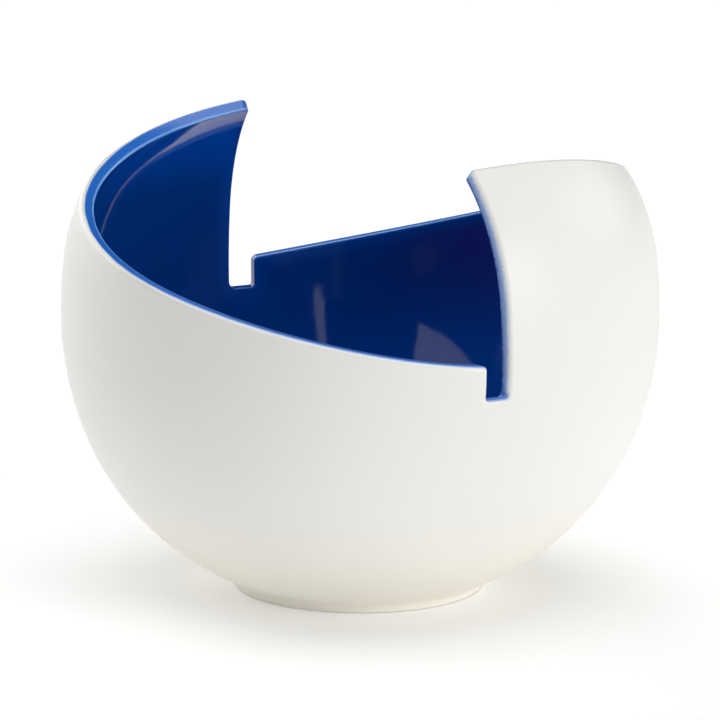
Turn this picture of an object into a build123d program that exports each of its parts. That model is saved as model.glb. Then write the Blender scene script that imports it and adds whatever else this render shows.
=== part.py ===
from build123d import *

import os
from math import acos, asin, atan2, comb, cos, degrees, radians, sin, sqrt

# Yarn bowl: one slip-cast ceramic shell on a low foot ring, and its coats of glaze.
# Millimetres, +Z up, origin at the centre of the face that the foot ring rests on.
# Azimuths are in degrees, counter-clockwise from +X, and the bowl's front faces -Y.
# The rim is a two-start spiral. Each half starts low beside one yarn slot and climbs
# clockwise, seen from above, through half a turn to a tall wing at the other slot.

# Wall
belly_radius = 77.5  # widest outside radius
belly_height = 72.5  # height of the widest place
wall = 3.8  # glazed wall, from outside face to inside face
glaze = 0.35  # thickness of every coat of glaze

# Outside profile: tangent arcs that start upright at the widest place
flank_up_radius = 130.0
flank_up_turn = 6.4
shoulder_radius = 52.7
shoulder_top_angle = 60.0  # the shell is cast up to here, above the highest rim
flank_down_radius = 84.0
flank_down_turn = 21.8
basin_radius = 70.6

# Foot ring and inside floor
foot_radius = 32.4
foot_ring_width = 5.0
foot_recess = 1.5
bare_band = 0.5  # the glaze is wiped off this far above the resting face
floor_height = 5.6
floor_blend_radius = 30.0

# Rim: control heights of the Bezier curve that the outer edge follows with azimuth
half_turn = 180.0
front_rim = (72.9, 74.3, 90.8, 89.8, 109.7, 115.6, 119.9)  # front slot to left wing
back_rim = (72.3, 76.5, 89.4, 115.1, 122.0, 119.9)  # back slot to right wing

# Yarn slots: the azimuth is where the wing's face meets the widest outside radius,
# and the twist turns that face away from radial
slot_corner = 1.0
front_slot_azimuth = -61.4
front_slot_twist = 6.3
front_slot_width = 5.9
front_slot_floor = 64.5
back_slot_azimuth = 118.4
back_slot_twist = -7.2
back_slot_width = 7.4
back_slot_floor = 64.9

# Tools that cut the openings reach this far past the clay
reach_out = 6.0
reach_in = 30.0
guard_width = 15.0  # keeps each rim's tool off the wing beside its low end
guard_length = 48.0
overrun = 8.0  # degrees, at both ends of each half rim
rim_steps = 24
cut_top = 135.0


def along(point, distance, angle):
    """The point in the wall's section at a distance from another, at an angle above level."""
    turn = radians(angle)
    return (point[0] + distance * cos(turn), point[1] + distance * sin(turn))


# Centres of the profile's arcs in the wall's section, as (radius, height)
flank_up_centre = (belly_radius - flank_up_radius, belly_height)
shoulder_centre = along(flank_up_centre, flank_up_radius - shoulder_radius, flank_up_turn)
flank_down_centre = (belly_radius - flank_down_radius, belly_height)
basin_centre = along(flank_down_centre, flank_down_radius - basin_radius, -flank_down_turn)
shoulder_start = along(flank_up_centre, flank_up_radius, flank_up_turn)[1]

# The inside floor is flat, and an arc blends it into the inside of the basin
blend_rise = floor_height + floor_blend_radius - basin_centre[1]
blend_reach = sqrt((basin_radius - wall - floor_blend_radius) ** 2 - blend_rise**2)
blend_centre = (basin_centre[0] + blend_reach, basin_centre[1] + blend_rise)
blend_angle = degrees(atan2(blend_rise, blend_reach))


def wall_arc(height):
    """Centre and radius of the arc that the outside face follows at a rim height."""
    if height > shoulder_start:
        return shoulder_centre, shoulder_radius
    if height > belly_height:
        return flank_up_centre, flank_up_radius
    return flank_down_centre, flank_down_radius


def wall_lean(height):
    """How far the outside face looks up from level at a height, in radians."""
    centre, radius = wall_arc(height)
    return asin((height - centre[1]) / radius)


def wall_point(height, depth):
    """The point at a depth under the outside face, square to that face at a height."""
    centre, radius = wall_arc(height)
    return along(centre, radius - depth, degrees(wall_lean(height)))


def foot_angle(depth):
    """The angle on the basin's arc where it meets the side of the foot ring."""
    return -degrees(acos((foot_radius - depth - basin_centre[0]) / (basin_radius - depth)))


def draw_wall(depth, low_angle):
    """Arcs of one face of the wall, from an angle on the basin up to the shoulder's top."""
    basin_sweep = -flank_down_turn - low_angle
    shoulder_sweep = shoulder_top_angle - flank_up_turn
    CenterArc(basin_centre, basin_radius - depth, low_angle, basin_sweep)
    CenterArc(flank_down_centre, flank_down_radius - depth, -flank_down_turn, flank_down_turn)
    CenterArc(flank_up_centre, flank_up_radius - depth, 0, flank_up_turn)
    CenterArc(shoulder_centre, shoulder_radius - depth, flank_up_turn, shoulder_sweep)


def draw_inside(depth):
    """The flat floor, its blend and the wall above it, at a depth under the outside."""
    radius = floor_blend_radius + wall - depth
    level = blend_centre[1] - radius
    Line((0, level), (blend_centre[0], level))
    CenterArc(blend_centre, radius, -90, 90 + blend_angle)
    draw_wall(depth, blend_angle)


def draw_top(outer_depth, inner_depth):
    """The line across the wall at the shoulder's top."""
    outer = along(shoulder_centre, shoulder_radius - outer_depth, shoulder_top_angle)
    inner = along(shoulder_centre, shoulder_radius - inner_depth, shoulder_top_angle)
    Line(outer, inner)


def slot_plane(azimuth, twist):
    """Origin on the wing's face, X outward along it, Y towards the wing, Z up."""
    origin = (belly_radius * cos(radians(azimuth)), belly_radius * sin(radians(azimuth)), 0)
    outward = (cos(radians(azimuth + twist)), sin(radians(azimuth + twist)), 0)
    return Plane(origin=origin, x_dir=outward, z_dir=(0, 0, 1))


def rim_height(controls, fraction):
    """Height of the rim's outer edge at a fraction of the half turn."""
    order = len(controls) - 1
    return sum(
        comb(order, i) * height * fraction**i * (1 - fraction) ** (order - i)
        for i, height in enumerate(controls)
    )


def rim_edge(azimuth, controls, depth, drop):
    """A curve beside the rim: where the rim's cut, lowered by a drop, reaches a depth."""
    points = []
    fractions = []
    for step in range(rim_steps + 1):
        turn = -overrun + (half_turn + 2 * overrun) * step / rim_steps
        height = rim_height(controls, turn / half_turn)
        reached = wall_point(height, depth)
        lean = wall_lean(height)
        radius = reached[0] + drop * sin(lean)
        level = reached[1] - drop * cos(lean)
        heading = radians(azimuth - turn)
        points.append(Vector(radius * cos(heading), radius * sin(heading), level))
        fractions.append(step / rim_steps)
    return Edge.make_spline(points, parameters=fractions)


def rim_opening(azimuth, twist, width, controls, drop):
    """Everything above one half of the rim, which is cut square to the wall."""
    outer = rim_edge(azimuth, controls, -reach_out, drop)
    inner = rim_edge(azimuth, controls, reach_in, drop)
    cut = Face.make_surface_from_curves(outer, inner)
    with BuildPart() as opening:
        extrude(cut, amount=cut_top, dir=(0, 0, 1))
        with Locations(slot_plane(azimuth, twist)):
            with Locations((2 * reach_out, -width / 2, 0)):
                Box(
                    guard_length,
                    guard_width,
                    3 * cut_top,
                    align=(Align.MAX, Align.MIN, Align.CENTER),
                    mode=Mode.SUBTRACT,
                )
    return opening.part


def slot_opening(azimuth, twist, width, floor, drop):
    """A yarn slot with its rounded floor corners, carried up past the wing's tip."""
    frame = slot_plane(azimuth, twist)
    start = frame.origin - frame.x_dir * reach_in
    bottom = floor - drop
    with BuildPart() as opening:
        with BuildSketch(Plane(origin=start, x_dir=frame.y_dir, z_dir=frame.x_dir)) as profile:
            with Locations((-width / 2, (bottom + cut_top) / 2)):
                Rectangle(width + 2 * drop, cut_top - bottom)
            fillet(profile.vertices().group_by(Axis.Y)[0], radius=slot_corner + drop)
        extrude(amount=reach_in + reach_out)
    return opening.part


def openings(drop):
    """What is open above the rim and in the slots, grown by a drop into the clay."""
    front = (front_slot_azimuth, front_slot_twist, front_slot_width)
    back = (back_slot_azimuth, back_slot_twist, back_slot_width)
    return [
        rim_opening(*front, front_rim, drop),
        rim_opening(*back, back_rim, drop),
        slot_opening(*front, front_slot_floor, drop),
        slot_opening(*back, back_slot_floor, drop),
    ]


os.makedirs("parts", exist_ok=True)
clay_openings = openings(glaze)
glazed_openings = openings(0)
foot_inner_radius = foot_radius - foot_ring_width
clay_foot_radius = foot_radius - glaze

# The fired clay: foot ring, wall, rim and slots in one casting
with BuildPart() as bowl_body:
    with BuildSketch(Plane.XZ):
        with BuildLine():
            Polyline(
                (0, floor_height - glaze),
                (0, foot_recess),
                (foot_inner_radius, foot_recess),
                (foot_inner_radius, 0),
                (clay_foot_radius, 0),
                along(basin_centre, basin_radius - glaze, foot_angle(glaze)),
            )
            draw_wall(glaze, foot_angle(glaze))
            draw_top(glaze, wall - glaze)
            draw_inside(wall - glaze)
        make_face()
    revolve(axis=Axis.Z)
    for cutter in clay_openings:
        add(cutter, mode=Mode.SUBTRACT)
bowl_body.part.label = "bowl_body"
export_step(bowl_body.part, "parts/bowl_body.step")

# The gloss coat over the floor and the inside of the wall
with BuildPart() as inner_glaze:
    with BuildSketch(Plane.XZ):
        with BuildLine():
            Line((0, floor_height - glaze), (0, floor_height))
            draw_inside(wall - glaze)
            draw_top(wall - glaze, wall)
            draw_inside(wall)
        make_face()
    revolve(axis=Axis.Z)
    for cutter in glazed_openings:
        add(cutter, mode=Mode.SUBTRACT)
inner_glaze.part.label = "inner_glaze"
export_step(inner_glaze.part, "parts/inner_glaze.step")

# The satin coat over the outside, down the side of the foot to its bare band
with BuildPart() as outer_glaze:
    with BuildSketch(Plane.XZ):
        with BuildLine():
            Polyline(
                along(basin_centre, basin_radius, foot_angle(0)),
                (foot_radius, bare_band),
                (clay_foot_radius, bare_band),
                along(basin_centre, basin_radius - glaze, foot_angle(glaze)),
            )
            draw_wall(0, foot_angle(0))
            draw_top(0, glaze)
            draw_wall(glaze, foot_angle(glaze))
        make_face()
    revolve(axis=Axis.Z)
    for cutter in glazed_openings:
        add(cutter, mode=Mode.SUBTRACT)
outer_glaze.part.label = "outer_glaze"
export_step(outer_glaze.part, "parts/outer_glaze.step")

# The paler coat over the cut rim and round both slots, between the two coats above
with BuildPart() as rim_glaze:
    with BuildSketch(Plane.XZ):
        with BuildLine():
            draw_wall(glaze, blend_angle)
            draw_top(glaze, wall - glaze)
            draw_wall(wall - glaze, blend_angle)
            Line(
                along(basin_centre, basin_radius - glaze, blend_angle),
                along(basin_centre, basin_radius - wall + glaze, blend_angle),
            )
        make_face()
    revolve(axis=Axis.Z)
    add(bowl_body.part, mode=Mode.SUBTRACT)
    for cutter in glazed_openings:
        add(cutter, mode=Mode.SUBTRACT)
rim_glaze.part.label = "rim_glaze"
export_step(rim_glaze.part, "parts/rim_glaze.step")

# The coat in the recess inside the foot ring
with BuildPart() as underside_glaze:
    with BuildSketch(Plane.XY.offset(foot_recess - glaze)):
        Circle(foot_inner_radius)
    extrude(amount=glaze)
underside_glaze.part.label = "underside_glaze"
export_step(underside_glaze.part, "parts/underside_glaze.step")
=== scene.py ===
from math import comb

import bpy
import numpy as np
from mathutils import Matrix, Vector
from mathutils.geometry import delaunay_2d_cdt


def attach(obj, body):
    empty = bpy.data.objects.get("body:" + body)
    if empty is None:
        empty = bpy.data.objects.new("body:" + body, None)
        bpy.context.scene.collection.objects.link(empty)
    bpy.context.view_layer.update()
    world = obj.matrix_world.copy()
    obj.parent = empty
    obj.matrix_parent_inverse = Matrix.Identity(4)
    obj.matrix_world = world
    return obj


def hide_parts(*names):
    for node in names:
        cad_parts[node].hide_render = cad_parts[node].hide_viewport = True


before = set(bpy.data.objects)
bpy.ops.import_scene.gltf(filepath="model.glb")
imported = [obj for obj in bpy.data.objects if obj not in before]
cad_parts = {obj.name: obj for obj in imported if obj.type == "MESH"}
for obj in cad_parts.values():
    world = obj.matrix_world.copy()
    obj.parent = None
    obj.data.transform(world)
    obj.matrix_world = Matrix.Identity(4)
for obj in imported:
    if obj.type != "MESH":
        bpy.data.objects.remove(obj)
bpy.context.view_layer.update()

# A slip-cast ceramic yarn bowl. Its wall is a surface of revolution, trimmed by a two-start
# spiral rim and two yarn slots. Every point of the glazed surface is named by an azimuth,
# by the distance up the outside profile from the foot, and by the depth under the outside.
# The shape is worked out in millimetres, and meshes are made in metres.
MM = 0.001

# Outside profile: tangent arcs that start upright at the widest place
BELLY_RADIUS = 77.5
BELLY_HEIGHT = 72.5
WALL = 3.8
GLAZE = 0.35
FLANK_UP_RADIUS = 130.0
FLANK_UP_TURN = np.radians(6.4)
SHOULDER_RADIUS = 52.7
SHOULDER_TOP = np.radians(62.0)
FLANK_DOWN_RADIUS = 84.0
FLANK_DOWN_TURN = np.radians(21.8)
BASIN_RADIUS = 70.6

# Foot ring and inside floor
FOOT_RADIUS = 32.4
FOOT_RING_WIDTH = 5.0
FOOT_RECESS = 1.5
FOOT_JOINT_ROUND = 2.8
FOOT_EDGE_ROUND = 0.4
BARE_BAND = 0.5
FLOOR_HEIGHT = 5.6
FLOOR_BLEND_RADIUS = 30.0

# The inside face's normals turn in near the wings' tops, between two heights, as if the real
# wall curled in there. The mesh itself is not bent.
CURL = np.radians(7.0)
CURL_START, CURL_FULL = 95.0, 110.0
# Rim: control heights of the Bezier curve that its outer edge follows with azimuth
FRONT_RIM = (72.9, 74.3, 90.8, 89.8, 109.7, 115.6, 119.9)
BACK_RIM = (72.3, 76.5, 89.4, 115.1, 122.0, 119.9)

# Yarn slots, and how round the edges and corners are
FRONT_SLOT = {
    "azimuth": np.radians(-61.4), "twist": np.radians(6.3), "width": 5.9, "floor": 64.5,
}
BACK_SLOT = {
    "azimuth": np.radians(118.4), "twist": np.radians(-7.2), "width": 7.4, "floor": 64.9,
}
OUTER_ROUND = 1.2
INNER_ROUND = 0.5
# Corner radii in order: wing tip, both ends of the slot's floor, low end of the rim
BACK_CORNERS = (1.7, 1.8, 1.0, 1.5)
FRONT_CORNERS = (1.2, 1.0, 0.7, 1.2)

# Mesh fineness
COLUMNS = 360
ROW_STEP = 1.2
RIM_STEP = 0.8
CORNER_POINTS = 9
ROUND_ROWS = 8
FLAT_ROWS = 3
CURVE_SAMPLES = 600
JOINT_STEPS = 6
FLOOR_BLEND_STEPS = 24
FLOOR_RINGS = 16
PATCH_LOW = 58.0  # height under which the wall is a plain grid
GRID_CLEARANCE = 0.55 * ROW_STEP  # room kept between the edge and the grid's points
BATCH = 4000  # grid points that are measured at a time
CAP_RADIUS = 2.0  # of the fan that closes the inside floor at the axis
WELD_DECIMALS = 4

# Values of `across` far from the edge: outside, under the edge, and inside
FAR_OUTSIDE, FAR_FROM_EDGE, FAR_INSIDE = -20.0, 20.0, 30.0

# Where each rim's low end and its wing's tip are looked for, as fractions of its curve
LOW_END_RANGE = (-0.1, 0.3)
TIP_RANGE = (0.7, 1.1)


# ---------------------------------------------------------------- the wall

def along(point, distance, angle):
    return (point[0] + distance * np.cos(angle), point[1] + distance * np.sin(angle))


flank_up_centre = (BELLY_RADIUS - FLANK_UP_RADIUS, BELLY_HEIGHT)
shoulder_centre = along(flank_up_centre, FLANK_UP_RADIUS - SHOULDER_RADIUS, FLANK_UP_TURN)
flank_down_centre = (BELLY_RADIUS - FLANK_DOWN_RADIUS, BELLY_HEIGHT)
basin_centre = along(flank_down_centre, FLANK_DOWN_RADIUS - BASIN_RADIUS, -FLANK_DOWN_TURN)
foot_turn = -np.arccos((FOOT_RADIUS - basin_centre[0]) / BASIN_RADIUS)

# The four arcs from the foot up: centre, radius, and the angle each one starts at
ARC_CENTRES = np.array([basin_centre, flank_down_centre, flank_up_centre, shoulder_centre])
ARC_RADII = np.array([BASIN_RADIUS, FLANK_DOWN_RADIUS, FLANK_UP_RADIUS, SHOULDER_RADIUS])
ARC_STARTS = np.array([foot_turn, -FLANK_DOWN_TURN, 0.0, FLANK_UP_TURN])
ARC_ENDS = np.append(ARC_STARTS[1:], SHOULDER_TOP)
ARC_RISES = np.append(0.0, np.cumsum((ARC_ENDS - ARC_STARTS) * ARC_RADII))
ARC_HEIGHTS = ARC_CENTRES[:, 1] + ARC_RADII * np.sin(ARC_STARTS)

blend_rise = FLOOR_HEIGHT + FLOOR_BLEND_RADIUS - basin_centre[1]
blend_reach = np.sqrt((BASIN_RADIUS - WALL - FLOOR_BLEND_RADIUS) ** 2 - blend_rise**2)
blend_centre = (basin_centre[0] + blend_reach, basin_centre[1] + blend_rise)
blend_turn = np.arctan2(blend_rise, blend_reach)


def lean_at(rise):
    """Angle of the outside face above level, at a distance up the profile, and its arc."""
    rise = np.asarray(rise, float)
    arc = np.clip(np.searchsorted(ARC_RISES, rise, side="right") - 1, 0, 3)
    return ARC_STARTS[arc] + (rise - ARC_RISES[arc]) / ARC_RADII[arc], arc


def section(rise, depth):
    """Radius and height of the wall's point, and the angle of the wall's normal."""
    lean, arc = lean_at(rise)
    reach = ARC_RADII[arc] - depth
    radius = ARC_CENTRES[arc, 0] + reach * np.cos(lean)
    height = ARC_CENTRES[arc, 1] + reach * np.sin(lean)
    return radius, height, lean


def rise_at(height, depth=0.0):
    """Distance up the profile where the face at a depth has a height."""
    height = np.asarray(height, float)
    arc = np.clip(np.searchsorted(ARC_HEIGHTS, height, side="right") - 1, 0, 3)
    lean = np.arcsin((height - ARC_CENTRES[arc, 1]) / (ARC_RADII[arc] - depth))
    return ARC_RISES[arc] + (lean - ARC_STARTS[arc]) * ARC_RADII[arc]


def place(azimuth, rise, depth):
    """Point of the wall and the outward normal there."""
    radius, height, lean = section(rise, depth)
    curl = np.clip((height - CURL_START) / (CURL_FULL - CURL_START), 0, 1)
    eased = curl * curl * (3 - 2 * curl)
    lean = lean + CURL * eased * depth / WALL
    cos, sin = np.cos(azimuth), np.sin(azimuth)
    point = np.stack([radius * cos, radius * sin, height + 0 * azimuth], -1)
    normal = np.stack([np.cos(lean) * cos, np.cos(lean) * sin, np.sin(lean) + 0 * azimuth], -1)
    return point, normal


# ---------------------------------------------------------------- the rim's edge

def rim_height(controls, fraction):
    """Height of a rim's Bezier curve at a fraction of the half turn from its low end."""
    order = len(controls) - 1
    return sum(
        comb(order, i) * height * fraction**i * (1 - fraction) ** (order - i)
        for i, height in enumerate(controls)
    )


def slot_turn(slot, offset, radius):
    """Azimuth, from the slot's own, where a plane beside its wing face cuts a radius."""
    heading = slot["azimuth"] + slot["twist"]
    out = np.array([np.cos(heading), np.sin(heading)])
    side = np.array([-out[1], out[0]])
    start = BELLY_RADIUS * np.array([np.cos(slot["azimuth"]), np.sin(slot["azimuth"])])
    start = start + np.multiply.outer(offset, side)
    b = start @ out
    c = (start**2).sum(-1) - radius**2
    reach = -b + np.sqrt(b * b - c)
    point = start + reach[..., None] * out
    turn = np.arctan2(point[..., 1], point[..., 0]) - slot["azimuth"]
    return (turn + np.pi) % (2 * np.pi) - np.pi


def solve(error, low, high):
    """Where a falling function of one number crosses zero."""
    for _ in range(50):
        middle = (low + high) / 2
        if error(middle) > 0:
            low = middle
        else:
            high = middle
    return (low + high) / 2


def rim_pieces(depth):
    """The rim and slots as eight curves, each from a fraction to azimuth and rise."""
    slots = (FRONT_SLOT, BACK_SLOT)
    rims = (FRONT_RIM, BACK_RIM)
    starts = (FRONT_SLOT["azimuth"], BACK_SLOT["azimuth"] - 2 * np.pi)
    ends = (BACK_SLOT["azimuth"] - 2 * np.pi, FRONT_SLOT["azimuth"] - 2 * np.pi)

    def rim_point(k, fraction):
        return starts[k] - np.pi * fraction, rise_at(rim_height(rims[k], fraction))

    def gap(k, slot, offset, centre):
        def error(fraction):
            azimuth, rise = rim_point(k, fraction)
            return azimuth - centre - slot_turn(slot, offset, section(rise, depth)[0])
        return error

    lows = [solve(gap(k, slots[k], -slots[k]["width"], starts[k]), *LOW_END_RANGE) for k in (0, 1)]
    tips = [solve(gap(k, slots[1 - k], 0.0, ends[k]), *TIP_RANGE) for k in (0, 1)]
    pieces = []
    for k in (0, 1):
        slot, centre = slots[1 - k], ends[k]
        tip = rim_point(k, tips[k])[1]
        low = rim_point(1 - k, lows[1 - k])[1]
        floor = rise_at(slot["floor"], depth)

        def rim(f, k=k):
            return rim_point(k, lows[k] + (tips[k] - lows[k]) * f)

        def wing_face(f, slot=slot, tip=tip, floor=floor, centre=centre):
            rise = tip + (floor - tip) * f
            return centre + slot_turn(slot, 0.0 * f, section(rise, depth)[0]), rise

        def slot_bottom(f, slot=slot, floor=floor, centre=centre):
            radius = section(floor, depth)[0] + 0 * f
            return centre + slot_turn(slot, -slot["width"] * f, radius), floor + 0 * f

        def low_side(f, slot=slot, low=low, floor=floor, centre=centre):
            rise = floor + (low - floor) * f
            offset = -slot["width"] + 0.0 * f
            return centre + slot_turn(slot, offset, section(rise, depth)[0]), rise

        pieces += [rim, wing_face, slot_bottom, low_side]
    return pieces


def flat_steps(azimuth, rise):
    """Steps between neighbouring points of a curve on the outside, in millimetres."""
    radius = section(rise, 0.0)[0]
    across = np.diff(azimuth) * (radius[1:] + radius[:-1]) / 2
    return np.stack([across, np.diff(rise)], -1)


def edge_loop():
    """The bowl's trimmed edge as a closed run of points, at the outside and the inside face."""
    outer, inner = rim_pieces(0.0), rim_pieces(WALL)
    corners = BACK_CORNERS + FRONT_CORNERS
    fine = np.linspace(0, 1, CURVE_SAMPLES)
    lengths, heads, tails = [], [], []
    for piece in outer:
        steps = flat_steps(*piece(fine))
        size = np.linalg.norm(steps, axis=1)
        lengths.append(np.append(0.0, np.cumsum(size)))
        heads.append(steps[0] / size[0])
        tails.append(steps[-1] / size[-1])
    trims = []
    for i, radius in enumerate(corners):
        turn = np.arccos(np.clip(tails[i] @ heads[(i + 1) % 8], -1, 1))
        trims.append((radius * np.tan(turn / 2), np.cos(turn / 2)))
    azimuths = {0: [], 1: []}
    rises = {0: [], 1: []}
    slot_shares = []
    for i in range(8):
        first, last = trims[i - 1][0], lengths[i][-1] - trims[i][0]
        count = max(4, int((last - first) / RIM_STEP))
        stops = np.interp(np.linspace(first, last, count + 1), lengths[i], fine)
        after = (i + 1) % 8
        next_first = np.interp(trims[i][0], lengths[after], fine)
        t = np.linspace(0, 1, CORNER_POINTS + 2)[1:-1]
        weights = np.stack([(1 - t) ** 2, 2 * trims[i][1] * t * (1 - t), t**2])
        weights /= weights.sum(0)
        for side, pieces in ((0, outer), (1, inner)):
            run = pieces[i](stops)
            corner = pieces[i](np.array([1.0]))
            start = pieces[after](np.array([next_first]))
            wrap = -2 * np.pi if after == 0 else 0.0
            for store, a, b, c in (
                (azimuths, run[0], corner[0][0], start[0][0] + wrap),
                (rises, run[1], corner[1][0], start[1][0]),
            ):
                store[side].append(a)
                store[side].append(weights[0] * a[-1] + weights[1] * b + weights[2] * c)
        # The rim has a slot share of 0 and the slot's sides 1, with a blend round the corners
        leaves_rim, reaches_rim = i % 4 == 0, i % 4 == 3
        slot_shares.append(np.zeros(count + 1) if leaves_rim else np.ones(count + 1))
        slot_shares.append(t if leaves_rim else (1 - t if reaches_rim else 1 + 0 * t))
    azimuth = [np.concatenate(azimuths[s]) for s in (0, 1)]
    rise = [np.concatenate(rises[s]) for s in (0, 1)]
    slot = np.concatenate(slot_shares)
    before, after = np.roll(np.arange(len(rise[0])), 1), np.roll(np.arange(len(rise[0])), -1)
    turn = azimuth[0][after] - azimuth[0][before]
    turn = (turn + np.pi) % (2 * np.pi) - np.pi
    forward = np.stack([turn * section(rise[0], 0.0)[0], rise[0][after] - rise[0][before]], -1)
    forward /= np.linalg.norm(forward, axis=1)[:, None]
    outward = np.stack([forward[:, 1], -forward[:, 0]], -1)
    return {"azimuth": azimuth, "rise": rise, "outward": outward, "slot": slot}


def edge_curve(loop, inset, depth):
    """The edge moved down the wall by an inset and into it by a depth."""
    share = depth / WALL
    azimuth = loop["azimuth"][0] * (1 - share) + loop["azimuth"][1] * share
    rise = loop["rise"][0] * (1 - share) + loop["rise"][1] * share
    radius = section(rise, 0.0)[0]
    return azimuth - inset * loop["outward"][:, 0] / radius, rise - inset * loop["outward"][:, 1]


# ---------------------------------------------------------------- patches of surface

def patch(points, normals, across, slot, faces):
    return {"points": points, "normals": normals, "across": across, "slot": slot, "faces": faces}


def grid_faces(rows, columns, flip=False, closed=True):
    """Quads of a grid whose columns may run all the way round."""
    row = np.arange(rows - 1)[:, None] * columns
    column = np.arange(columns if closed else columns - 1)[None, :]
    after = (column + 1) % columns
    quads = np.stack([row + column, row + after, row + columns + after, row + columns + column], -1)
    quads = quads.reshape(-1, 4)
    return quads[:, ::-1] if flip else quads


def lip_patch(loop):
    """The rounded edge, from the outside face over the rim to the inside face."""
    turn = np.linspace(0, np.pi / 2, ROUND_ROWS + 1)
    inset, sink = 1 - np.sin(turn), 1 - np.cos(turn)
    flat = np.linspace(OUTER_ROUND, WALL - INNER_ROUND, FLAT_ROWS + 2)[1:-1]
    insets = np.concatenate([OUTER_ROUND * inset, 0 * flat, INNER_ROUND * inset[::-1]])
    depths = np.concatenate([OUTER_ROUND * sink, flat, WALL - INNER_ROUND * sink[::-1]])
    half = len(insets) / 2
    points, across = [], []
    for i, (inset, depth) in enumerate(zip(insets, depths)):
        points.append(place(*edge_curve(loop, inset, depth), depth)[0])
        across.append(np.full(len(points[-1]), depth + (inset if i > half else -inset)))
    points = np.array(points)
    down = np.gradient(points, axis=0)
    round_ = np.roll(points, -1, axis=1) - np.roll(points, 1, axis=1)
    normals = np.cross(down, round_)
    normals /= np.linalg.norm(normals, axis=2)[..., None]
    rows, columns = points.shape[:2]
    normals[0] = place(*edge_curve(loop, insets[0], 0.0), 0.0)[1]
    normals[-1] = -place(*edge_curve(loop, insets[-1], WALL), WALL)[1]
    slot = np.tile(loop["slot"], rows)
    return patch(
        points.reshape(-1, 3), normals.reshape(-1, 3), np.concatenate(across), slot,
        [grid_faces(rows, columns, flip=True)],
    )


def inside_loop(points, loop):
    """Which flat points lie inside a closed flat loop."""
    x, y = points[:, 0:1], points[:, 1:2]
    ax, ay = loop[:, 0], loop[:, 1]
    bx, by = np.roll(ax, -1), np.roll(ay, -1)
    spans = (ay > y) != (by > y)
    with np.errstate(divide="ignore", invalid="ignore"):
        crossing = ax + (y - ay) * (bx - ax) / (by - ay)
    return (spans & (x < crossing)).sum(1) % 2 == 1


def trimmed_patch(loop, depth, edge_round, flip):
    """The wall's face from a level ring up to the trimmed edge, as a fitted triangle mesh."""
    edge_azimuth, edge_rise = edge_curve(loop, edge_round, depth)
    low = rise_at(PATCH_LOW)
    columns = np.arange(COLUMNS) * 2 * np.pi / COLUMNS
    rows = np.arange(low + ROW_STEP, edge_rise.max(), ROW_STEP)
    grid_azimuth = np.tile(columns, len(rows))
    grid_azimuth = grid_azimuth + np.repeat(np.arange(len(rows)) % 2, COLUMNS) * np.pi / COLUMNS
    grid_rise = np.repeat(rows, COLUMNS)

    def flat(azimuth, rise):
        return np.stack([rise * np.cos(azimuth), rise * np.sin(azimuth)], -1)

    edge_flat = flat(edge_azimuth, edge_rise)
    grid_flat = flat(grid_azimuth, grid_rise)
    edge_place = place(*edge_curve(loop, 0.0, depth), depth)[0]
    near = place(edge_azimuth, edge_rise, depth)[0]
    spots = place(grid_azimuth, grid_rise, depth)[0]
    keep = np.zeros(len(spots), bool)
    distance = np.zeros(len(spots))
    nearest = np.zeros(len(spots), int)
    for start in range(0, len(spots), BATCH):
        part = slice(start, start + BATCH)
        gaps = np.linalg.norm(spots[part, None] - near[None], axis=2)
        nearest[part] = gaps.argmin(1)
        distance[part] = np.linalg.norm(spots[part, None] - edge_place[None], axis=2).min(1)
        keep[part] = inside_loop(grid_flat[part], edge_flat) & (gaps.min(1) > GRID_CLEARANCE)
    azimuth = np.concatenate([columns, edge_azimuth, grid_azimuth[keep]])
    rise = np.concatenate([np.full(COLUMNS, low), edge_rise, grid_rise[keep]])
    count, edge_count = COLUMNS, len(edge_rise)
    ring = [(i, (i + 1) % count) for i in range(count)]
    rim = [(count + i, count + (i + 1) % edge_count) for i in range(edge_count)]
    flat_points = [Vector(p) for p in flat(azimuth, rise)]
    result = delaunay_2d_cdt(flat_points, ring + rim, [], 1, 1e-7)
    source = np.array([origins[0] for origins in result[3]])
    triangles = source[np.array(result[2])]
    triangles = triangles[(triangles >= count).any(1)]
    points, normals = place(azimuth, rise, depth)
    beyond = np.concatenate([np.full(count, FAR_FROM_EDGE), np.full(edge_count, edge_round), distance[keep]])
    slot = np.concatenate([np.zeros(count), loop["slot"], loop["slot"][nearest[keep]]])
    if flip:
        triangles = triangles[:, ::-1]
        return patch(points, normals, -beyond, slot, [triangles])
    return patch(points, -normals, WALL + beyond, slot, [triangles])


def turned_patch(profile, across, flip=False):
    """A profile of (radius, height, normal radius, normal height) turned about the axis."""
    profile = np.asarray(profile, float)
    azimuth = np.arange(COLUMNS) * 2 * np.pi / COLUMNS
    cos, sin = np.cos(azimuth), np.sin(azimuth)
    r, z, nr, nz = (profile[:, i : i + 1] for i in range(4))
    points = np.stack([r * cos, r * sin, z + 0 * cos], -1)
    normals = np.stack([nr * cos, nr * sin, nz + 0 * cos], -1)
    normals /= np.linalg.norm(normals, axis=2)[..., None]
    count = points.shape[0] * points.shape[1]
    faces = [grid_faces(len(profile), COLUMNS, flip)]
    return patch(
        points.reshape(-1, 3), normals.reshape(-1, 3),
        np.full(count, across), np.zeros(count), faces,
    )


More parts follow.
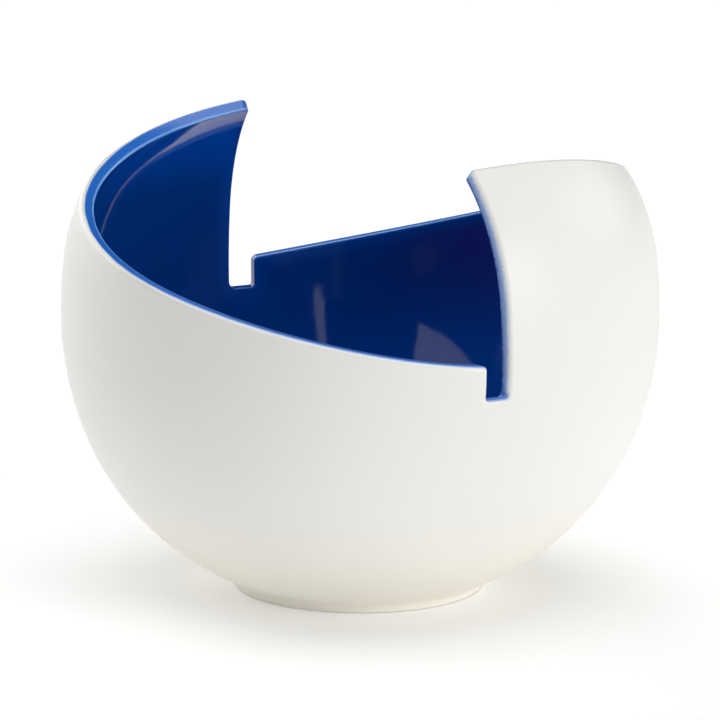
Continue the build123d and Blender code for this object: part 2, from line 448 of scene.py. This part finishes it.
def cap(profile_point, normal, across, flip):
    """A fan that closes a turned patch at the axis."""
    azimuth = np.arange(COLUMNS) * 2 * np.pi / COLUMNS
    r, z = profile_point
    ring = np.stack([r * np.cos(azimuth), r * np.sin(azimuth), z + 0 * azimuth], -1)
    points = np.vstack([ring, [[0, 0, z]]])
    normals = np.tile([0.0, 0.0, normal], (len(points), 1))
    i = np.arange(COLUMNS)
    fan = np.stack([i, (i + 1) % COLUMNS, np.full(COLUMNS, COLUMNS)], -1)
    return patch(points, normals, np.full(len(points), across), np.zeros(len(points)),
                 [fan[:, ::-1] if flip else fan])


def arc_profile(centre, radius, start, end, steps, inward=False):
    """Points of a round stretch of profile, with the normals on its outer or inner side."""
    angle = np.linspace(start, end, steps + 1)
    sign = -1.0 if inward else 1.0
    return np.stack([
        centre[0] + radius * np.cos(angle), centre[1] + radius * np.sin(angle),
        sign * np.cos(angle), sign * np.sin(angle),
    ], -1)


def wall_profile(low, high, depth, inward):
    """Profile of one face of the wall between two distances up the outside."""
    steps = int((high - low) / ROW_STEP)
    radius, height, lean = section(np.linspace(low, high, steps + 1), depth)
    sign = -1.0 if inward else 1.0
    return np.stack([radius, height, sign * np.cos(lean), sign * np.sin(lean)], -1)


def join(patches):
    """Several patches as one, with shared seams welded."""
    points = np.vstack([p["points"] for p in patches])
    normals = np.vstack([p["normals"] for p in patches])
    across = np.concatenate([p["across"] for p in patches])
    slot = np.concatenate([p["slot"] for p in patches])
    faces, offset = [], 0
    for p in patches:
        faces += [f + offset for f in p["faces"]]
        offset += len(p["points"])
    keys = np.round(points, WELD_DECIMALS) + 0.0
    _, first, same = np.unique(keys, axis=0, return_index=True, return_inverse=True)
    same = same.reshape(-1)
    welded = [same[f] for f in faces]
    return patch(points[first], normals[first], across[first], slot[first], welded)


def lowered(p, depth):
    """A patch moved into the clay, facing the same way."""
    return patch(p["points"] - depth * p["normals"], p["normals"], p["across"], p["slot"], p["faces"])


def open_edges(faces):
    """The directed edges that only one face uses."""
    pairs = np.vstack([np.stack([f, np.roll(f, -1, axis=1)], -1).reshape(-1, 2) for f in faces])
    keys = np.sort(pairs, axis=1)
    _, where, counts = np.unique(keys, axis=0, return_inverse=True, return_counts=True)
    return pairs[counts[where.reshape(-1)] == 1]


def coat(p):
    """A closed coat of glaze under a patch, with its own edge walls."""
    count = len(p["points"])
    under = p["points"] - GLAZE * p["normals"]
    edges = open_edges(p["faces"])
    walls = np.stack([edges[:, 1], edges[:, 0], edges[:, 0] + count, edges[:, 1] + count], -1)
    faces = p["faces"] + [f[:, ::-1] + count for f in p["faces"]] + [walls]
    points = np.vstack([p["points"], under])
    normals = np.vstack([p["normals"], -p["normals"]])
    a, b, c = (points[walls[:, i]] for i in range(3))
    flat = np.cross(b - a, c - b)
    flat /= np.maximum(np.linalg.norm(flat, axis=1), 1e-12)[:, None]
    corner_normals = [normals[f.reshape(-1)] for f in faces[:-1]] + [np.repeat(flat, 4, axis=0)]
    return {
        "points": points, "faces": faces, "corner_normals": np.vstack(corner_normals),
        "across": np.tile(p["across"], 2), "slot": np.tile(p["slot"], 2),
    }


def make_object(name, shape):
    """A Blender object from a shape in millimetres."""
    mesh = bpy.data.meshes.new(name)
    mesh.vertices.add(len(shape["points"]))
    mesh.vertices.foreach_set("co", (shape["points"] * MM).astype(np.float32).reshape(-1))
    corners = np.concatenate([f.reshape(-1) for f in shape["faces"]])
    sizes = np.concatenate([np.full(len(f), f.shape[1]) for f in shape["faces"]])
    mesh.loops.add(len(corners))
    mesh.loops.foreach_set("vertex_index", corners.astype(np.int32))
    mesh.polygons.add(len(sizes))
    mesh.polygons.foreach_set("loop_start", np.append(0, np.cumsum(sizes)[:-1]).astype(np.int32))
    mesh.polygons.foreach_set("loop_total", sizes.astype(np.int32))
    mesh.polygons.foreach_set("use_smooth", np.ones(len(sizes), bool))
    mesh.update(calc_edges=True)
    for key in ("across", "slot"):
        store = mesh.attributes.new(key, "FLOAT", "POINT")
        store.data.foreach_set("value", shape[key].astype(np.float32))
    if "corner_normals" in shape:
        mesh.normals_split_custom_set(shape["corner_normals"].tolist())
    piece = bpy.data.objects.new(name, mesh)
    bpy.context.scene.collection.objects.link(piece)
    return piece


# ---------------------------------------------------------------- the bowl's shapes

def outer_surface(loop):
    """Outside face, its soft joint with the foot, and the foot's glazed side."""
    low = rise_at(PATCH_LOW)
    side = FOOT_RADIUS
    # The joint is a concave round between the basin and the upright side of the foot
    reach = BASIN_RADIUS + FOOT_JOINT_ROUND
    centre_r = side + FOOT_JOINT_ROUND
    centre_z = basin_centre[1] - np.sqrt(reach**2 - (centre_r - basin_centre[0]) ** 2)
    joint = np.arctan2(basin_centre[1] - centre_z, basin_centre[0] - centre_r)
    basin_turn = joint - np.pi
    wall = wall_profile((basin_turn - foot_turn) * BASIN_RADIUS, low, 0.0, inward=False)
    fillet = arc_profile((centre_r, centre_z), FOOT_JOINT_ROUND, np.pi, joint, JOINT_STEPS, inward=True)
    foot_side = [[side, z, 1, 0] for z in np.linspace(BARE_BAND + GLAZE, centre_z, 3)]
    lip = arc_profile((side - GLAZE, BARE_BAND + GLAZE), GLAZE, -np.pi / 3, 0, 3)
    profile = np.vstack([lip[:-1], foot_side[:-1], fillet[:-1], wall])
    return join([
        turned_patch(profile, FAR_OUTSIDE), trimmed_patch(loop, 0.0, OUTER_ROUND, flip=True),
    ])


def inner_surface(loop):
    """Inside face from the trimmed edge down to the flat floor."""
    low = rise_at(PATCH_LOW)
    start = (blend_turn - foot_turn) * BASIN_RADIUS
    wall = wall_profile(start, low, WALL, inward=True)
    blend = arc_profile(
        blend_centre, FLOOR_BLEND_RADIUS, -np.pi / 2, blend_turn, FLOOR_BLEND_STEPS, inward=True,
    )
    reaches = np.linspace(CAP_RADIUS, blend_centre[0], FLOOR_RINGS)
    floor = [[r, FLOOR_HEIGHT, 0, 1] for r in reaches]
    profile = np.vstack([floor[:-1], blend[:-1], wall])
    return join([
        turned_patch(profile, FAR_INSIDE, flip=True),
        cap((CAP_RADIUS, FLOOR_HEIGHT), 1.0, FAR_INSIDE, flip=False),
        trimmed_patch(loop, WALL, INNER_ROUND, flip=False),
    ])


def clay_surface(outer, lip, inner):
    """The clay under the glaze, with its bare foot ring and the recess inside it."""
    side = FOOT_RADIUS - GLAZE
    inside = FOOT_RADIUS - FOOT_RING_WIDTH
    edge = FOOT_EDGE_ROUND
    # Where the clay under the outside glaze ends, just above the foot
    end = outer["points"][:, 2].argmin()
    end_point = outer["points"][end] - GLAZE * outer["normals"][end]
    end_r, end_z = np.hypot(*end_point[:2]), end_point[2]
    profile = np.vstack([
        [[inside, FOOT_RECESS, -1, 0]],
        arc_profile((inside + edge, edge), edge, -np.pi, -np.pi / 2, 5),
        arc_profile((side - edge, edge), edge, -np.pi / 2, 0, 5),
        [[end_r, end_z, 1, 0]],
    ])
    ring = turned_patch(profile, FAR_OUTSIDE)
    recess = cap((inside, FOOT_RECESS), -1.0, FAR_OUTSIDE, flip=True)
    coats = [lowered(p, GLAZE) for p in (outer, lip, inner)]
    return join(coats + [ring, recess])


loop = edge_loop()
outer = outer_surface(loop)
lip = lip_patch(loop)
inner = inner_surface(loop)
clay = clay_surface(outer, lip, inner)

outer_coat = make_object("outer_glaze_coat", coat(outer))
rim_coat = make_object("rim_glaze_coat", coat(lip))
inner_coat = make_object("inner_glaze_coat", coat(inner))
clay_body = make_object("clay_body", clay)


# ---------------------------------------------------------------- materials

def new_material(name):
    material = bpy.data.materials.new(name)
    material.use_nodes = True
    return material, material.node_tree, material.node_tree.nodes["Principled BSDF"]


def add(tree, kind, inputs=None, **settings):
    """A node with its settings, and with its inputs set or linked."""
    node = tree.nodes.new(kind)
    for key, value in settings.items():
        setattr(node, key, value)
    for key, value in (inputs or {}).items():
        if isinstance(value, bpy.types.NodeSocket):
            tree.links.new(value, node.inputs[key])
        else:
            node.inputs[key].default_value = value
    return node


def spot(tree):
    """Place on the bowl, in metres."""
    return add(tree, "ShaderNodeTexCoord").outputs["Object"]


def noise(tree, size, detail=2.0, roughness=0.5):
    """Soft noise whose patches are about a size across, in millimetres."""
    return add(tree, "ShaderNodeTexNoise", {
        "Vector": spot(tree), "Scale": 1.0 / (size * MM), "Detail": detail,
        "Roughness": roughness,
    }).outputs["Fac"]


def span(tree, value, low, high, new_low=0.0, new_high=1.0):
    """A value's range mapped onto another, and held at its ends."""
    return add(tree, "ShaderNodeMapRange", {
        "Value": value, "From Min": low, "From Max": high, "To Min": new_low, "To Max": new_high,
    }).outputs["Result"]


def mix(tree, factor, a, b):
    """A colour between two colours."""
    node = add(tree, "ShaderNodeMix", data_type="RGBA")
    for socket, value in ((node.inputs[0], factor), (node.inputs[6], a), (node.inputs[7], b)):
        if isinstance(value, bpy.types.NodeSocket):
            tree.links.new(value, socket)
        else:
            socket.default_value = value
    return node.outputs[2]


def math(tree, operation, a, b=0.0, c=0.0):
    """The output of a maths node."""
    return add(tree, "ShaderNodeMath", {0: a, 1: b, 2: c}, operation=operation).outputs[0]


def bump(tree, shader, height, distance, strength=1.0):
    """Relief whose full height is a distance, in millimetres."""
    node = add(tree, "ShaderNodeBump", {
        "Height": height, "Distance": distance * MM, "Strength": strength,
    })
    tree.links.new(node.outputs["Normal"], shader.inputs["Normal"])


# The stretch over the edge that the colour ramps cover, in millimetres from the outside face
RAMP_START, RAMP_END = -3.0, 15.0
WHITE = (0.82, 0.81, 0.78)
# Pale blue over the outer rounding: the glaze breaking paler, with a painted highlight in it
PALE_BREAK_AND_HIGHLIGHT_BLUE = (0.36, 0.50, 0.84)
# Softer blue of the low rim's wider pale band: thinner blue, with a painted highlight in it
SOFT_THIN_AND_HIGHLIGHT_BLUE = (0.14, 0.27, 0.68)
EDGE_BLUE = (0.024, 0.145, 0.56)
# Paler blue at the crest of the inner rounding: the glaze breaking paler, with a painted highlight in it
CREST_BREAK_AND_HIGHLIGHT_BLUE = (0.19, 0.42, 0.85)
COBALT = (0.001, 0.08, 0.42)
DEEP_COBALT = (0.001, 0.072, 0.38)

# Colour of the glaze by the distance over the edge, in millimetres from the outside face. The pale blues
# over the two roundings are partly the glaze breaking paler and partly painted highlights.
EDGE_STOPS = (
    (0.1, WHITE), (0.45, PALE_BREAK_AND_HIGHLIGHT_BLUE), (0.7, EDGE_BLUE), (3.0, EDGE_BLUE),
    (3.45, CREST_BREAK_AND_HIGHLIGHT_BLUE), (3.8, CREST_BREAK_AND_HIGHLIGHT_BLUE), (4.15, EDGE_BLUE), (4.9, COBALT), (12.0, DEEP_COBALT),
)
# The same where the rim is low, where the blue is thinner over the outer edge and the wider pale band there
# is partly a painted highlight on the outer rounding
LOW_EDGE_THIN_AND_HIGHLIGHT_STOPS = (
    (-0.1, WHITE), (0.2, PALE_BREAK_AND_HIGHLIGHT_BLUE), (1.2, SOFT_THIN_AND_HIGHLIGHT_BLUE), (2.3, EDGE_BLUE),
    (3.65, CREST_BREAK_AND_HIGHLIGHT_BLUE), (4.1, EDGE_BLUE), (4.9, COBALT), (12.0, DEEP_COBALT),
)
# The sponged blue of the wing's face in the front slot, and the darker back slot
SLOT_STOPS = (
    (-0.3, WHITE), (0.5, (0.66, 0.76, 0.90)), (1.0, (0.50, 0.62, 0.86)), (1.5, (0.36, 0.48, 0.76)),
    (2.95, (0.20, 0.32, 0.64)), (3.45, (0.02, 0.10, 0.40)), (4.4, COBALT), (12.0, DEEP_COBALT),
)
BACK_SLOT_STOPS = (
    (-0.1, WHITE), (0.15, PALE_BREAK_AND_HIGHLIGHT_BLUE), (0.5, (0.03, 0.13, 0.42)), (1.2, (0.004, 0.05, 0.22)),
    (3.8, COBALT), (12.0, DEEP_COBALT),
)
# The glaze is darker and more violet on the back wall, right of the middle
VIOLET_COBALT = (0.03, 0.052, 0.36)
# Warmer, brighter white low on the outside: painted bounce light from the floor
PAINTED_FOOT_BOUNCE = (0.90, 0.87, 0.79)

# Stretches of the bowl over which its colour changes, each from one place to another in metres
LOW_TO_HIGH_RIM = (0.084, 0.094)
FRONT_TO_BACK = (-0.01, 0.01)
TO_RIGHT, TO_REAR, TO_UPPER = (0.0, 0.03), (-0.005, 0.02), (0.052, 0.076)
UP_THE_WALL, TO_WING_TOP = (0.050, 0.070), (0.0945, 0.108)
TO_FAR_LEFT = (-0.058, -0.070)
TIP_RIGHT, TIP_LEFT, TIP_HEIGHT = (0.045, 0.033), (0.020, 0.028), (0.105, 0.112)
LOW_IN_SLOT, HIGH_IN_SLOT, OVER_SLOT_FLOOR = (0.066, 0.085), (0.090, 0.108), (0.0650, 0.0665)
DOWN_TO_PAINTED_BOUNCE = (0.030, 0.008)
# The middle of the sponged band, and how far the sponge's dabs reach, in millimetres
BAND_MIDDLE, DAB_REACH = 2.1, 2.6


def edge_ramp(tree, place_across, stops):
    """Colour by the place over the edge, given as a fraction of the ramps' stretch."""
    node = add(tree, "ShaderNodeValToRGB", {"Fac": place_across})
    marks = node.color_ramp.elements
    while len(marks) < len(stops):
        marks.new(0.5)
    for mark, (across, color) in zip(marks, stops):
        mark.position = (across - RAMP_START) / (RAMP_END - RAMP_START)
        mark.color = (*color, 1)
    return node.outputs["Color"]


def inside_blue(tree, glaze, x, y, z):
    """The inside's blue: darker up the wall, brighter at the wings' tops, violet at the back."""
    right = span(tree, x, *TO_RIGHT)
    rear = span(tree, y, *TO_REAR)
    upper = span(tree, z, *TO_UPPER)
    violet = math(tree, "MULTIPLY", math(tree, "MULTIPLY", right, rear), upper)
    violet_mixed = mix(tree, violet, glaze, (*VIOLET_COBALT, 1))
    up_wall = span(tree, z, *UP_THE_WALL, 1.0, 0.76)
    wing_top = span(tree, z, *TO_WING_TOP, 1.0, 1.7)
    scale = add(tree, "ShaderNodeVectorMath", {
        0: violet_mixed, "Scale": math(tree, "MULTIPLY", up_wall, wing_top),
    }, operation="SCALE")
    return scale.outputs["Vector"]


def glaze_color(tree):
    """White outside, blue over the edge and inside, and sponged blue in the slots."""
    across = add(tree, "ShaderNodeAttribute", attribute_name="across").outputs["Fac"]
    slot = add(tree, "ShaderNodeAttribute", attribute_name="slot").outputs["Fac"]
    where = add(tree, "ShaderNodeSeparateXYZ", {"Vector": spot(tree)})
    x, y, z = where.outputs
    wander = math(tree, "SUBTRACT", noise(tree, 6.0, 3.0), 0.5)
    moved = math(tree, "ADD", across, math(tree, "MULTIPLY", wander, 0.5))
    # The blue starts further in at the far left, and nearer the outside at the right wing's tip
    far_left = span(tree, x, *TO_FAR_LEFT)
    set_back = math(tree, "MULTIPLY", far_left, span(tree, across, 1.0, 3.0, 0.7, 0.0))
    moved = math(tree, "SUBTRACT", moved, set_back)
    by_tip = math(tree, "MULTIPLY", span(tree, x, *TIP_RIGHT), span(tree, x, *TIP_LEFT))
    by_tip = math(tree, "MULTIPLY", by_tip, span(tree, z, *TIP_HEIGHT))
    moved = math(tree, "MULTIPLY_ADD", by_tip, 0.5, moved)
    moved = span(tree, moved, RAMP_START, RAMP_END)
    # Low on the rim the pale band is wider: thinner blue, and partly a painted highlight on the outer
    # rounding
    high = span(tree, z, *LOW_TO_HIGH_RIM)
    rim = mix(tree, high, edge_ramp(tree, moved, LOW_EDGE_THIN_AND_HIGHLIGHT_STOPS), edge_ramp(tree, moved, EDGE_STOPS))
    # The sponged band is narrower low in the slot and near the wing's tip
    squeeze = math(
        tree, "MAXIMUM",
        span(tree, z, *LOW_IN_SLOT, 1.5, 1.0), span(tree, z, *HIGH_IN_SLOT, 1.0, 1.3),
    )
    from_middle = math(tree, "SUBTRACT", across, BAND_MIDDLE)
    banded = math(tree, "MULTIPLY_ADD", from_middle, squeeze, BAND_MIDDLE)
    sponge = math(tree, "SUBTRACT", noise(tree, 0.9, 4.0, 0.7), 0.5)
    dabbed = math(tree, "ADD", banded, math(tree, "MULTIPLY", sponge, DAB_REACH))
    dabbed = span(tree, dabbed, RAMP_START, RAMP_END)
    back = span(tree, y, *FRONT_TO_BACK)
    cut = mix(tree, back, edge_ramp(tree, dabbed, SLOT_STOPS), edge_ramp(tree, moved, BACK_SLOT_STOPS))
    above_floor = math(tree, "MAXIMUM", span(tree, z, *OVER_SLOT_FLOOR), back)
    glaze = mix(tree, math(tree, "MULTIPLY", slot, above_floor), rim, cut)
    return mix(tree, span(tree, across, 4.2, 8.0), glaze, inside_blue(tree, glaze, x, y, z))


def white_glaze(name, meets_rim):
    """Satin off-white glaze, a little warmer and thinner in places, with painted bounce light making it
    warmer and brighter near the foot.
    """
    material, tree, shader = new_material(name)
    tone = span(tree, noise(tree, 28.0, 3.0), 0.3, 0.7)
    tint = mix(tree, tone, (0.985, 0.985, 0.975, 1), (1.0, 0.995, 0.98, 1))
    base = glaze_color(tree) if meets_rim else (*WHITE, 1)
    z = add(tree, "ShaderNodeSeparateXYZ", {"Vector": spot(tree)}).outputs["Z"]
    # Painted bounce light from the floor: warmer and brighter low on the outside
    base = mix(tree, span(tree, z, *DOWN_TO_PAINTED_BOUNCE), base, (*PAINTED_FOOT_BOUNCE, 1))
    color = add(tree, "ShaderNodeMix", data_type="RGBA", blend_type="MULTIPLY")
    color.inputs[0].default_value = 1.0
    tree.links.new(base, color.inputs[6])
    tree.links.new(tint, color.inputs[7])
    tree.links.new(color.outputs[2], shader.inputs["Base Color"])
    tree.links.new(span(tree, noise(tree, 3.0, 4.0), 0.3, 0.7, 0.36, 0.46), shader.inputs["Roughness"])
    bump(tree, shader, noise(tree, 1.2, 3.0), 0.01)
    return material


def blue_glaze():
    """Deep gloss cobalt with the faint waviness of a poured glaze."""
    material, tree, shader = new_material("cobalt_gloss_glaze")
    tree.links.new(glaze_color(tree), shader.inputs["Base Color"])
    tree.links.new(span(tree, noise(tree, 5.0, 3.0), 0.3, 0.7, 0.05, 0.09), shader.inputs["Roughness"])
    bump(tree, shader, noise(tree, 9.0, 2.0), 0.03)
    return material


def rim_glaze():
    """Thin glaze that breaks paler over the edge, with painted highlights in the pale blues of its
    roundings, and goes matt on the slot faces.
    """
    material, tree, shader = new_material("rim_blue_glaze")
    tree.links.new(glaze_color(tree), shader.inputs["Base Color"])
    slot = add(tree, "ShaderNodeAttribute", attribute_name="slot").outputs["Fac"]
    y = add(tree, "ShaderNodeSeparateXYZ", {"Vector": spot(tree)}).outputs["Y"]
    matt = math(tree, "MULTIPLY", slot, span(tree, y, *FRONT_TO_BACK, 1.0, 0.1))
    tree.links.new(span(tree, matt, 0.0, 1.0, 0.16, 0.5), shader.inputs["Roughness"])
    bump(tree, shader, noise(tree, 1.0, 3.0), 0.03)
    return material


def bare_clay():
    """Fired clay, fine and dry, where no glaze covers it."""
    material, tree, shader = new_material("bare_fired_clay")
    grain = span(tree, noise(tree, 0.6, 5.0, 0.7), 0.3, 0.7)
    color = mix(tree, grain, (0.70, 0.67, 0.60, 1), (0.80, 0.77, 0.70, 1))
    tree.links.new(color, shader.inputs["Base Color"])
    shader.inputs["Roughness"].default_value = 0.85
    bump(tree, shader, grain, 0.05)
    return material


for piece, material, node, slot in (
    (outer_coat, white_glaze("white_satin_glaze", True), "outer_glaze", "white_glaze"),
    (rim_coat, rim_glaze(), "rim_glaze", "rim_blue"),
    (inner_coat, blue_glaze(), "inner_glaze", "blue_glaze"),
    (clay_body, bare_clay(), "bowl_body", "clay"),
):
    piece.data.materials.append(material)
    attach(piece, "root")
    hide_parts(node)

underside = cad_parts["underside_glaze"]
underside.data.materials.clear()
underside.data.materials.append(white_glaze("white_underside_glaze", False))


# ---------------------------------------------------------------- floor, light and camera

# A lit table, and soft boxes round the bowl: the middle and width of each one's azimuth, its
# lowest and highest elevation, all in degrees, and its brightness
FLOOR_HALF = 6.0  # metres
FLOOR_GLOW = 0.2
SOFT_BOX_SEAM = 1e-4  # radians by which neighbouring boxes overlap
SOFT_BOXES = {
    "overhead": (0, 360, 60, 90, 2.5),
    "key at the front right": (-30, 30, 0, 30, 5.0),
    "back left": (135, 60, 0, 45, 2.0),
    "back right": (30, 30, 10, 30, 2.0),
    "panel at the front right": (-60, 30, 0, 30, 1.0),
    "panel at the front left": (-140, 50, 10, 30, 1.0),
}


# The camera in front of the bowl, in metres and radians, and its lens in millimetres
CAMERA_DISTANCE, CAMERA_HEIGHT = 1.400, 0.3654
CAMERA_PITCH, CAMERA_ROLL = 0.2152, 0.0060
CAMERA_LENS, CAMERA_SENSOR = 276.0, 36.0


def make_floor():
    """A wide pale table that glows a little."""
    mesh = bpy.data.meshes.new("floor")
    half = FLOOR_HALF
    mesh.from_pydata(
        [(-half, -half, 0), (half, -half, 0), (half, half, 0), (-half, half, 0)],
        [], [(0, 1, 2, 3)],
    )
    floor = bpy.data.objects.new("floor", mesh)
    bpy.context.scene.collection.objects.link(floor)
    material, tree, shader = new_material("pale_floor")
    shader.inputs["Base Color"].default_value = (0.9, 0.9, 0.9, 1)
    shader.inputs["Roughness"].default_value = 0.6
    shader.inputs["Emission Color"].default_value = (1, 1, 1, 1)
    shader.inputs["Emission Strength"].default_value = FLOOR_GLOW
    mesh.materials.append(material)


def make_camera():
    """A long lens looking down at the front of the bowl."""
    data = bpy.data.cameras.new("camera")
    data.sensor_width = CAMERA_SENSOR
    data.lens = CAMERA_LENS
    data.clip_end = 50.0
    camera = bpy.data.objects.new("camera", data)
    bpy.context.scene.collection.objects.link(camera)
    view = Vector((0, np.cos(CAMERA_PITCH), -np.sin(CAMERA_PITCH)))
    right = Vector((1, 0, 0))
    up = right.cross(view)
    tilted_right = right * np.cos(CAMERA_ROLL) + up * np.sin(CAMERA_ROLL)
    tilted_up = up * np.cos(CAMERA_ROLL) - right * np.sin(CAMERA_ROLL)
    turn = Matrix((tilted_right, tilted_up, -view)).transposed()
    where = Matrix.Translation((0, -CAMERA_DISTANCE, CAMERA_HEIGHT))
    camera.matrix_world = where @ turn.to_4x4()
    bpy.context.scene.camera = camera


def make_light():
    """Soft boxes as bright stretches of a dark studio, which the camera itself sees as white."""
    world = bpy.data.worlds.new("studio")
    bpy.context.scene.world = world
    world.use_nodes = True
    tree = world.node_tree
    background = tree.nodes["Background"]
    background.inputs["Color"].default_value = (1, 1, 1, 1)
    direction = add(tree, "ShaderNodeTexCoord").outputs["Generated"]
    x, y, z = add(tree, "ShaderNodeSeparateXYZ", {"Vector": direction}).outputs
    azimuth = math(tree, "ARCTAN2", y, x)
    elevation = math(tree, "ARCSINE", z)
    total = 0.0
    for middle, width, low, high, brightness in SOFT_BOXES.values():
        middle, width, low, high = np.radians((middle, width, low, high))
        away = math(tree, "PINGPONG", math(tree, "SUBTRACT", azimuth, float(middle)), np.pi)
        near = math(tree, "LESS_THAN", away, float(width / 2 + SOFT_BOX_SEAM))
        above = math(tree, "GREATER_THAN", elevation, float(low))
        below = math(tree, "LESS_THAN", elevation, float(high + SOFT_BOX_SEAM))
        box = math(tree, "MULTIPLY", math(tree, "MULTIPLY", near, above), below)
        total = math(tree, "MULTIPLY_ADD", box, brightness, total)
    seen = add(tree, "ShaderNodeLightPath").outputs["Is Camera Ray"]
    white_seen = math(tree, "MAXIMUM", total, seen)
    tree.links.new(white_seen, background.inputs["Strength"])
    bpy.context.scene.view_settings.view_transform = "Standard"


make_floor()
make_light()
make_camera()
